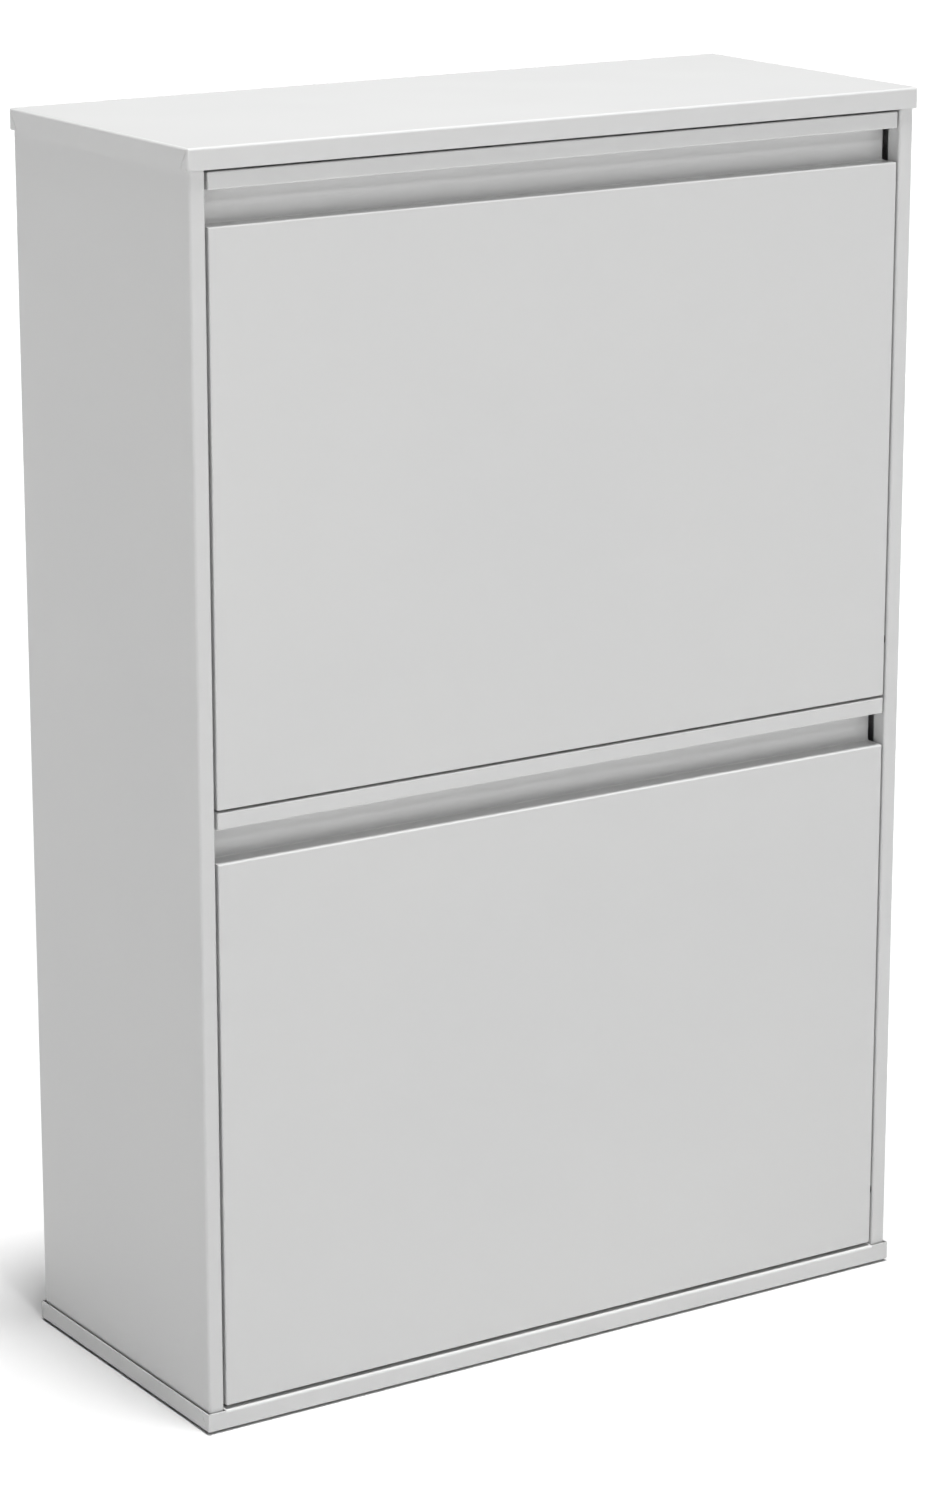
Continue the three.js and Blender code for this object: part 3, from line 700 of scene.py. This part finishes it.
def glide(node):
    """A screw-in foot: a moulded disc with a rounded rim, and its threaded stud."""
    x, y, z = reach(node)
    centre = middle(node)[:2]
    radius = (x[1] - x[0]) / 2
    foot_top = BASE_Z[0] - FIT
    rim = 0.45
    profile = [(z[0], radius - 1.2)]
    for angle in (0.5, 1.0, 1.5):
        profile.append((z[0] + rim - rim * math.cos(angle), radius - rim + rim * math.sin(angle) - 0.2))
    profile += [(foot_top - 0.25, radius), (foot_top, radius - 0.3), (foot_top, 3), (foot_top + 0.2, 2.9)]
    profile += thread(3, foot_top + 0.4, z[1] - 0.8, 1.0)
    profile += [(z[1], 2.1)]
    return turned("z", profile, centre)


def dome(start, end, radius, steps=6):
    """A turned profile of a domed head, from its rim at start to its crown at end."""
    angles = [math.pi / 2 * i / steps for i in range(steps + 1)]
    return [(start + (end - start) * math.sin(a), radius * math.cos(a) + 0.02) for a in angles]


def rivet(node):
    _, y, _ = reach(node)
    x, _, z = middle(node)
    head = REAR + FIT
    tail = reach("rear_top_rail")[1][1] - SHEET - FIT
    profile = [(y[0], 1.7), (y[0] + 0.5, 2.8), (tail - 0.4, 3), (tail, 2.7), (tail, 2)]
    profile += [(head, 2), (head, 3.85)]
    profile += [(head + 0.25, 4)] + dome(head + 0.3, y[1], 3.9)
    piece = turned("y", profile, (x, z))
    mandrel = turned("y", [(y[1] - 0.5, 1.1), (y[1] + 1, 1.3)], (x, z), 24)
    return cut(piece, mandrel)


def bush(flap, name):
    """A nylon bush: a flange with a rounded rim, a body through the upright and a barb behind it."""
    side = SIDES[name]
    near, far = outward(f"{flap}_{name}_pivot_bush")
    centre = PIVOT[flap]
    flange_r = reach(f"{flap}_{name}_pivot_bush")[2][1] - centre[1]
    bore, body, barb = 3.15, 4.4, 5.0
    back = UPRIGHT_X - FIT
    barb_from = UPRIGHT_X + UPRIGHT_SHEET + FIT
    profile = [
        (near + 0.3, bore), (near, bore + 0.3), (near, flange_r - 0.4), (near + 0.4, flange_r),
        (back - 0.2, flange_r), (back, flange_r - 0.2), (back, body), (barb_from, body),
        (barb_from, barb), (barb_from + 0.3, barb), (far, body - 0.3), (far, bore + 0.2), (far - 0.2, bore),
    ]
    return turned("x", [(side * w, r) for w, r in profile], centre, hollow=True)


def stop_pin(flap, name):
    side = SIDES[name]
    near, far = outward(f"{flap}_{name}_stop_pin")
    centre = middle(f"{flap}_{name}_stop_pin")[1:]
    back = UPRIGHT_X + UPRIGHT_SHEET + FIT
    profile = [(near, 5.7), (near + 0.15, 6.1), (near + 0.5, 6.5), (near + 1.3, 6.5), (near + 1.5, 6.3)]
    profile += [(near + 1.5, 2.5), (back, 2.5), (back, 4.3), (back + 0.3, 4.5), (far - 0.6, 4.1), (far, 2.6)]
    pin = turned("x", [(side * w, r) for w, r in profile], centre)
    socket = bar("x", 2.0, mirrored(side, near - 1, near + 0.9), centre, 6)
    return cut(pin, socket)


def stop_sleeve(flap, name):
    side = SIDES[name]
    near, far = outward(f"{flap}_{name}_stop_sleeve")
    centre = middle(f"{flap}_{name}_stop_sleeve")[1:]
    bore, outer, rim = 2.8, 4.5, 0.35
    profile = [
        (near, bore + rim), (near, outer - rim), (near + rim, outer), (far - rim, outer),
        (far, outer - rim), (far, bore + rim), (far - rim, bore), (near + rim, bore),
    ]
    return turned("x", [(side * w, r) for w, r in profile], centre, hollow=True)


def pivot_pin(flap, name):
    side = SIDES[name]
    near, far = outward(f"{flap}_{name}_pivot_pin")
    head = near + 1.6
    collar = (reach(f"{flap}_door")[0][1] + FIT, UPRIGHT_X - 2 * FIT - 1.5)
    profile = [
        (head - (head - near) * math.sin(a), 6 * math.cos(a) + 0.02) for a in (1.5, 1.2, 0.9, 0.6, 0.3)
    ]
    profile += [(head - 0.3, 6), (head, 5.8), (head, 3)]
    profile += [(collar[0], 3), (collar[0], 4.2), (collar[0] + 0.2, 4.4)]
    profile += [(collar[1] - 0.2, 4.4), (collar[1], 4.2), (collar[1], 3), (far - 0.7, 3), (far, 2.4)]
    return turned("x", [(side * w, r) for w, r in profile], PIVOT[flap])


def bumper(flap, name):
    """A rubber buffer: a domed button pressed through the rail, with its barb behind."""
    node = f"{flap}_{name}_bumper"
    _, y, _ = reach(node)
    x, _, z = middle(node)
    rail = reach("mid_cross_rail")[1][0]
    profile = [
        (rail + SHEET + FIT + 2.4 - t, r)
        for t, r in ((0, 1.6), (0.8, 2.0), (0.8, 2.4), (2.1, 3.0), (2.4, 3.0))
    ]
    profile += [(rail + SHEET + FIT, 2.0), (rail - FIT, 2.0), (rail - FIT, 4.7), (rail - FIT - 0.3, 5.0)]
    profile += dome(y[0] + 1.1, y[0], 5.0)
    return turned("y", profile, (x, z))


def rail_screw(flap, name):
    """A pan-head screw with a hexagon socket."""
    side = SIDES[name]
    near, far = outward(f"{flap}_{name}_rail_screw")
    centre = middle(f"{flap}_{name}_rail_screw")[1:]
    under = near + 2.2
    profile = [(near, 2.9), (near + 0.2, 3.4), (near + 0.6, 3.8), (near + 1.1, 4.0)]
    profile += [(under - 0.15, 4.0), (under, 3.85)]
    profile += thread(2, under, far - 0.6, 0.7) + [(far, 1.4)]
    screw = turned("x", [(side * w, r) for w, r in profile], centre)
    socket = bar("x", 1.45, mirrored(side, near - 1, near + 1.3), centre, 6)
    return cut(screw, socket)


# Finishing a piece

def softened(mesh, width, weld):
    """The mesh with its near corners welded, its flat faces merged and its cut edges rounded."""
    made = bmesh.new()
    made.from_mesh(mesh)
    bmesh.ops.remove_doubles(made, verts=made.verts, dist=weld)
    bmesh.ops.dissolve_limit(
        made, angle_limit=math.radians(0.4), verts=made.verts, edges=made.edges, use_dissolve_boundaries=False
    )
    sharp = [e for e in made.edges if len(e.link_faces) == 2 and e.calc_face_angle() > math.radians(40)]
    wear = made.faces.layers.float.new("wear")
    if width:
        result = bmesh.ops.bevel(
            made, geom=sharp, offset=width, segments=2, profile=0.5, affect="EDGES", clamp_overlap=True
        )
        bmesh.ops.dissolve_degenerate(made, dist=0.001, edges=made.edges)
        for face in result["faces"]:
            if face.is_valid:
                longest = max(e.calc_length() for e in face.edges)
                face[wear] = float(face.calc_area() < 1.5 * width * longest)
    return made


def soften(mesh, width):
    """Rounds the cut edges and marks their faces for the wear on them. Welding slivers can open a
    mesh, so the first distance that leaves it closed is used."""
    for weld in WELDS:
        made = softened(mesh, width, weld)
        closed = all(len(e.link_faces) == 2 for e in made.edges)
        if closed:
            made.to_mesh(mesh)
        made.free()
        if closed:
            return
    raise ValueError(f"{mesh.name} isn't closed")


def finish(piece, node, body, slot, width=EDGE):
    """Rounds, shades and scales a piece, and puts it in the place of its CAD node."""
    piece.name = f"{node}_made"
    piece.data.name = piece.name
    soften(piece.data, width)
    piece.data.transform(Matrix.Scale(MM, 4))
    piece.data.shade_smooth()
    piece.data.set_sharp_from_angle(angle=SMOOTH_BELOW)
    normals = piece.modifiers.new("normals", "WEIGHTED_NORMAL")
    normals.keep_sharp = True
    piece.data.materials.clear()
    piece.data.materials.append(MATERIALS[slot])
    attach(piece, body)
    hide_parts(node)


# Materials

class Nodes:
    """A material's node tree, with short calls to add and join its nodes."""

    def __init__(self, name, **sockets):
        self.material = bpy.data.materials.new(name)
        self.material.use_nodes = True
        self.tree = self.material.node_tree
        self.shader = self.tree.nodes["Principled BSDF"]
        for socket, value in sockets.items():
            self.shader.inputs[socket.replace("_", " ")].default_value = value
        self.place = self.tree.nodes.new("ShaderNodeTexCoord").outputs["Object"]

    def join(self, source, target):
        self.tree.links.new(source, target)

    def noise(self, size, detail=2.0, roughness=0.5, stretch=None):
        """Noise whose features are about this many millimetres across, from 0 to 1."""
        node = self.tree.nodes.new("ShaderNodeTexNoise")
        node.inputs["Scale"].default_value = 1 / (size * MM)
        node.inputs["Detail"].default_value = detail
        node.inputs["Roughness"].default_value = roughness
        place = self.place
        if stretch:
            mapping = self.tree.nodes.new("ShaderNodeMapping")
            mapping.inputs["Scale"].default_value = stretch
            self.join(place, mapping.inputs["Vector"])
            place = mapping.outputs["Vector"]
        self.join(place, node.inputs["Vector"])
        return node.outputs["Fac"]

    def ramp(self, value, low, high, out_low=0.0, out_high=1.0):
        node = self.tree.nodes.new("ShaderNodeMapRange")
        for name, number in zip(("From Min", "From Max", "To Min", "To Max"), (low, high, out_low, out_high)):
            node.inputs[name].default_value = number
        self.join(value, node.inputs["Value"])
        return node.outputs["Result"]

    def math(self, operation, a, b):
        node = self.tree.nodes.new("ShaderNodeMath")
        node.operation = operation
        for socket, value in zip(node.inputs, (a, b)):
            if isinstance(value, (int, float)):
                socket.default_value = value
            else:
                self.join(value, socket)
        return node.outputs[0]

    def mix(self, factor, a, b):
        node = self.tree.nodes.new("ShaderNodeMix")
        node.data_type = "RGBA"
        self.join(factor, node.inputs["Factor"])
        for socket, value in (("A", a), ("B", b)):
            target = next(s for s in node.inputs if s.name == socket and s.type == "RGBA")
            if isinstance(value, tuple):
                target.default_value = (*value, 1)
            else:
                self.join(value, target)
        return next(s for s in node.outputs if s.type == "RGBA")

    def attribute(self, name):
        node = self.tree.nodes.new("ShaderNodeAttribute")
        node.attribute_name = name
        return node.outputs["Fac"]

    def bump(self, height, distance, strength=1.0, under=None):
        node = self.tree.nodes.new("ShaderNodeBump")
        node.inputs["Distance"].default_value = distance * MM
        node.inputs["Strength"].default_value = strength
        self.join(height, node.inputs["Height"])
        if under:
            self.join(under, node.inputs["Normal"])
        return node.outputs["Normal"]

    def set(self, socket, value):
        self.join(value, self.shader.inputs[socket])


def powder_coat():
    """White polyester powder coat: satin, with a fine orange peel and thin coat on the edges."""
    n = Nodes("powder_coat", IOR=1.48, Coat_Roughness=0.2)
    cloud = n.noise(220, 1)
    speck = n.noise(0.9, 1)
    base = n.mix(n.ramp(cloud, 0.35, 0.65), (0.634, 0.636, 0.635), (0.642, 0.643, 0.640))
    grained = n.mix(n.ramp(speck, 0.62, 0.8, 0, 0.2), base, (0.61, 0.61, 0.607))
    worn = n.math("MULTIPLY", n.attribute("wear"), n.ramp(n.noise(7, 4, 0.65), 0.42, 0.62))
    n.set("Base Color", n.mix(n.math("MULTIPLY", worn, 0.3), grained, (0.72, 0.715, 0.70)))
    satin = n.ramp(n.noise(140, 1), 0.3, 0.7, 0.20, 0.24)
    n.set("Roughness", n.math("SUBTRACT", satin, n.math("MULTIPLY", worn, 0.08)))
    peel = n.bump(n.noise(2.6, 2, 0.45), 0.05, 0.35)
    n.set("Normal", n.bump(n.noise(0.5, 1), 0.008, 0.4, peel))
    return n.material


def zinc():
    """Bright zinc plate: a bluish metal with soft blotches and fine turning marks."""
    n = Nodes("zinc_plate", Metallic=1.0)
    blotch = n.noise(3.5, 4, 0.6)
    n.set("Base Color", n.mix(n.ramp(blotch, 0.35, 0.65), (0.56, 0.575, 0.60), (0.70, 0.70, 0.68)))
    n.set("Roughness", n.ramp(n.noise(1.2, 3, 0.6), 0.3, 0.7, 0.22, 0.4))
    n.set("Normal", n.bump(n.noise(0.25, 2), 0.01, 0.5))
    return n.material


def nylon():
    """Moulded black nylon with a dull sheen."""
    n = Nodes("nylon", IOR=1.53)
    n.set(
        "Base Color",
        n.mix(n.ramp(n.noise(5, 3), 0.35, 0.65), (0.020, 0.020, 0.022), (0.032, 0.032, 0.034)),
    )
    n.set("Roughness", n.ramp(n.noise(2, 3), 0.3, 0.7, 0.42, 0.54))
    n.set("Normal", n.bump(n.noise(0.4, 2), 0.01, 0.5))
    return n.material


def rubber():
    """Black rubber with a faint bloom."""
    n = Nodes("rubber", IOR=1.5)
    n.set(
        "Base Color",
        n.mix(n.ramp(n.noise(2.5, 4, 0.6), 0.4, 0.7), (0.016, 0.016, 0.017), (0.045, 0.044, 0.042)),
    )
    n.set("Roughness", n.ramp(n.noise(1.5, 3), 0.3, 0.7, 0.7, 0.88))
    n.set("Normal", n.bump(n.noise(0.35, 2), 0.02, 0.6))
    return n.material


MATERIALS = {"powder_coat": powder_coat(), "zinc": zinc(), "nylon": nylon(), "rubber": rubber()}


# Building

def build_carcass():
    coat = "powder_coat"
    finish(lid(), "lid", "carcass", coat)
    finish(base(), "base", "carcass", coat)
    finish(back_panel(), "back_panel", "carcass", coat)
    finish(rear_rail(), "rear_top_rail", "carcass", coat)
    finish(front_rail("top_front_rail", "upper"), "top_front_rail", "carcass", coat)
    finish(front_rail("mid_cross_rail", "lower"), "mid_cross_rail", "carcass", coat)
    for name in SIDES:
        finish(side_panel(name), f"{name}_side_panel", "carcass", coat)
        finish(upright(name), f"{name}_upright", "carcass", coat)
        for end in ("front", "rear"):
            foot, foot_nut, lid_nut = (f"{kind}_{end}_{name}" for kind in ("glide", "glide_nut", "lid_nut"))
            finish(glide(foot), foot, "carcass", "nylon", 0)
            finish(nut(foot_nut, M6_HOLE, 1.0), foot_nut, "carcass", "zinc", 0)
            finish(nut(lid_nut, M4_HOLE, 0.7), lid_nut, "carcass", "zinc", 0)
        for height in ("low", "high"):
            node = f"back_rivet_{height}_{name}"
            finish(rivet(node), node, "carcass", "zinc", 0)


def build_flap(flap):
    body = f"{flap}_flap"
    finish(door(flap), f"{flap}_door", body, "powder_coat")
    finish(shoe_tray(flap), f"{flap}_shoe_tray", body, "powder_coat")
    finish(divider(flap), f"{flap}_divider", body, "powder_coat")
    for name in SIDES:
        node = f"{flap}_{name}_"
        finish(cheek(flap, name), node + "cheek", body, "powder_coat")
        finish(pivot_pin(flap, name), node + "pivot_pin", body, "zinc", 0)
        finish(bush(flap, name), node + "pivot_bush", "carcass", "nylon", 0)
        finish(stop_pin(flap, name), node + "stop_pin", "carcass", "zinc", 0)
        finish(stop_sleeve(flap, name), node + "stop_sleeve", "carcass", "nylon", 0)
        finish(bumper(flap, name), node + "bumper", "carcass", "rubber", 0)
        finish(rail_screw(flap, name), node + "rail_screw", "carcass", "zinc", 0)


# Studio

def floor():
    """A wide pale floor whose colour is darker near the cabinet: a grey pool of painted shade standing in for
    its contact shadow.
    """
    n = Nodes("floor", Roughness=0.9, IOR=1.3)
    length = n.tree.nodes.new("ShaderNodeVectorMath")
    length.operation = "LENGTH"
    n.join(n.place, length.inputs[0])
    # painted shade: the floor's colour darkens towards the cabinet, as if it were shadowed by it
    far = n.ramp(length.outputs["Value"], 0.4, 3.0)
    n.set("Base Color", n.mix(far, FLOOR_NEAR_PAINTED_SHADE, FLOOR_FAR))
    size = 60
    mesh = bpy.data.meshes.new("floor")
    square = [(-size, -size, 0), (size, -size, 0), (size, size, 0), (-size, size, 0)]
    mesh.from_pydata(square, [], [(0, 1, 2, 3)])
    mesh.materials.append(n.material)
    piece = bpy.data.objects.new("floor", mesh)
    bpy.context.scene.collection.objects.link(piece)


def world():
    """A white horizon below a darker sky, so that most of the light comes from the lamps."""
    made = bpy.data.worlds.new("studio")
    bpy.context.scene.world = made
    made.use_nodes = True
    tree = made.node_tree
    place = tree.nodes.new("ShaderNodeTexCoord")
    split = tree.nodes.new("ShaderNodeSeparateXYZ")
    height = tree.nodes.new("ShaderNodeMapRange")
    height.inputs["From Min"].default_value = math.sin(math.radians(8))
    height.inputs["From Max"].default_value = math.sin(math.radians(12))
    height.inputs["To Min"].default_value = HORIZON
    height.inputs["To Max"].default_value = SKY
    tree.links.new(place.outputs["Generated"], split.inputs[0])
    tree.links.new(split.outputs["Z"], height.inputs["Value"])
    tree.links.new(height.outputs["Result"], tree.nodes["Background"].inputs["Strength"])
    tree.nodes["Background"].inputs["Color"].default_value = (1, 1, 1, 1)


def lamp(kind, name, strength, place, size):
    """A lamp that shines from its place at the middle of the cabinet: a distant one, whose size is
    the angle it fills, or a square panel with sides of that size."""
    light = bpy.data.lights.new(name, kind)
    light.energy = strength
    if kind == "SUN":
        light.angle = math.radians(size)
    else:
        light.size = size
    piece = bpy.data.objects.new(name, light)
    piece.location = place
    towards = Vector(place) - Vector((0, 0, LID_Z[1] * MM / 2))
    piece.rotation_euler = towards.to_track_quat("Z", "Y").to_euler()
    bpy.context.scene.collection.objects.link(piece)


def camera():
    lens = bpy.data.cameras.new("camera")
    lens.lens = LENS
    lens.sensor_width = 36
    lens.sensor_fit = "AUTO"
    lens.clip_end = 200
    piece = bpy.data.objects.new("camera", lens)
    piece.location = CAMERA
    yaw, pitch = math.radians(YAW), math.radians(PITCH)
    ahead = Vector((math.sin(yaw) * math.cos(pitch), math.cos(yaw) * math.cos(pitch), -math.sin(pitch)))
    piece.rotation_euler = ahead.to_track_quat("-Z", "Y").to_euler()
    bpy.context.scene.collection.objects.link(piece)
    bpy.context.scene.camera = piece


LENS = 107.2  # mm, on a 36 mm sensor
CAMERA = (-1.716, -2.643, 1.291)
YAW = 32.96  # degrees to the right of +Y
PITCH = 15.39  # degrees down
# the floor's colour close to the cabinet, darkened as painted shade around its foot
FLOOR_NEAR_PAINTED_SHADE = (0.75, 0.75, 0.75)
FLOOR_FAR = (0.94, 0.94, 0.94)
HORIZON = 0.6
SKY = 0.0
LAMPS = (
    ("SUN", "overhead", 3.85, (0, -0.6, 6), 12),
    ("AREA", "key", 47, (-0.8, -4.2, 3.4), 0.5),
    ("AREA", "top", 7.6, (0, 0, 2.2), 0.2),
)

bpy.context.scene.view_settings.view_transform = "Standard"
camera()
floor()
world()
for settings in LAMPS:
    lamp(*settings)
build_carcass()
for flap in FLAPS:
    build_flap(flap)
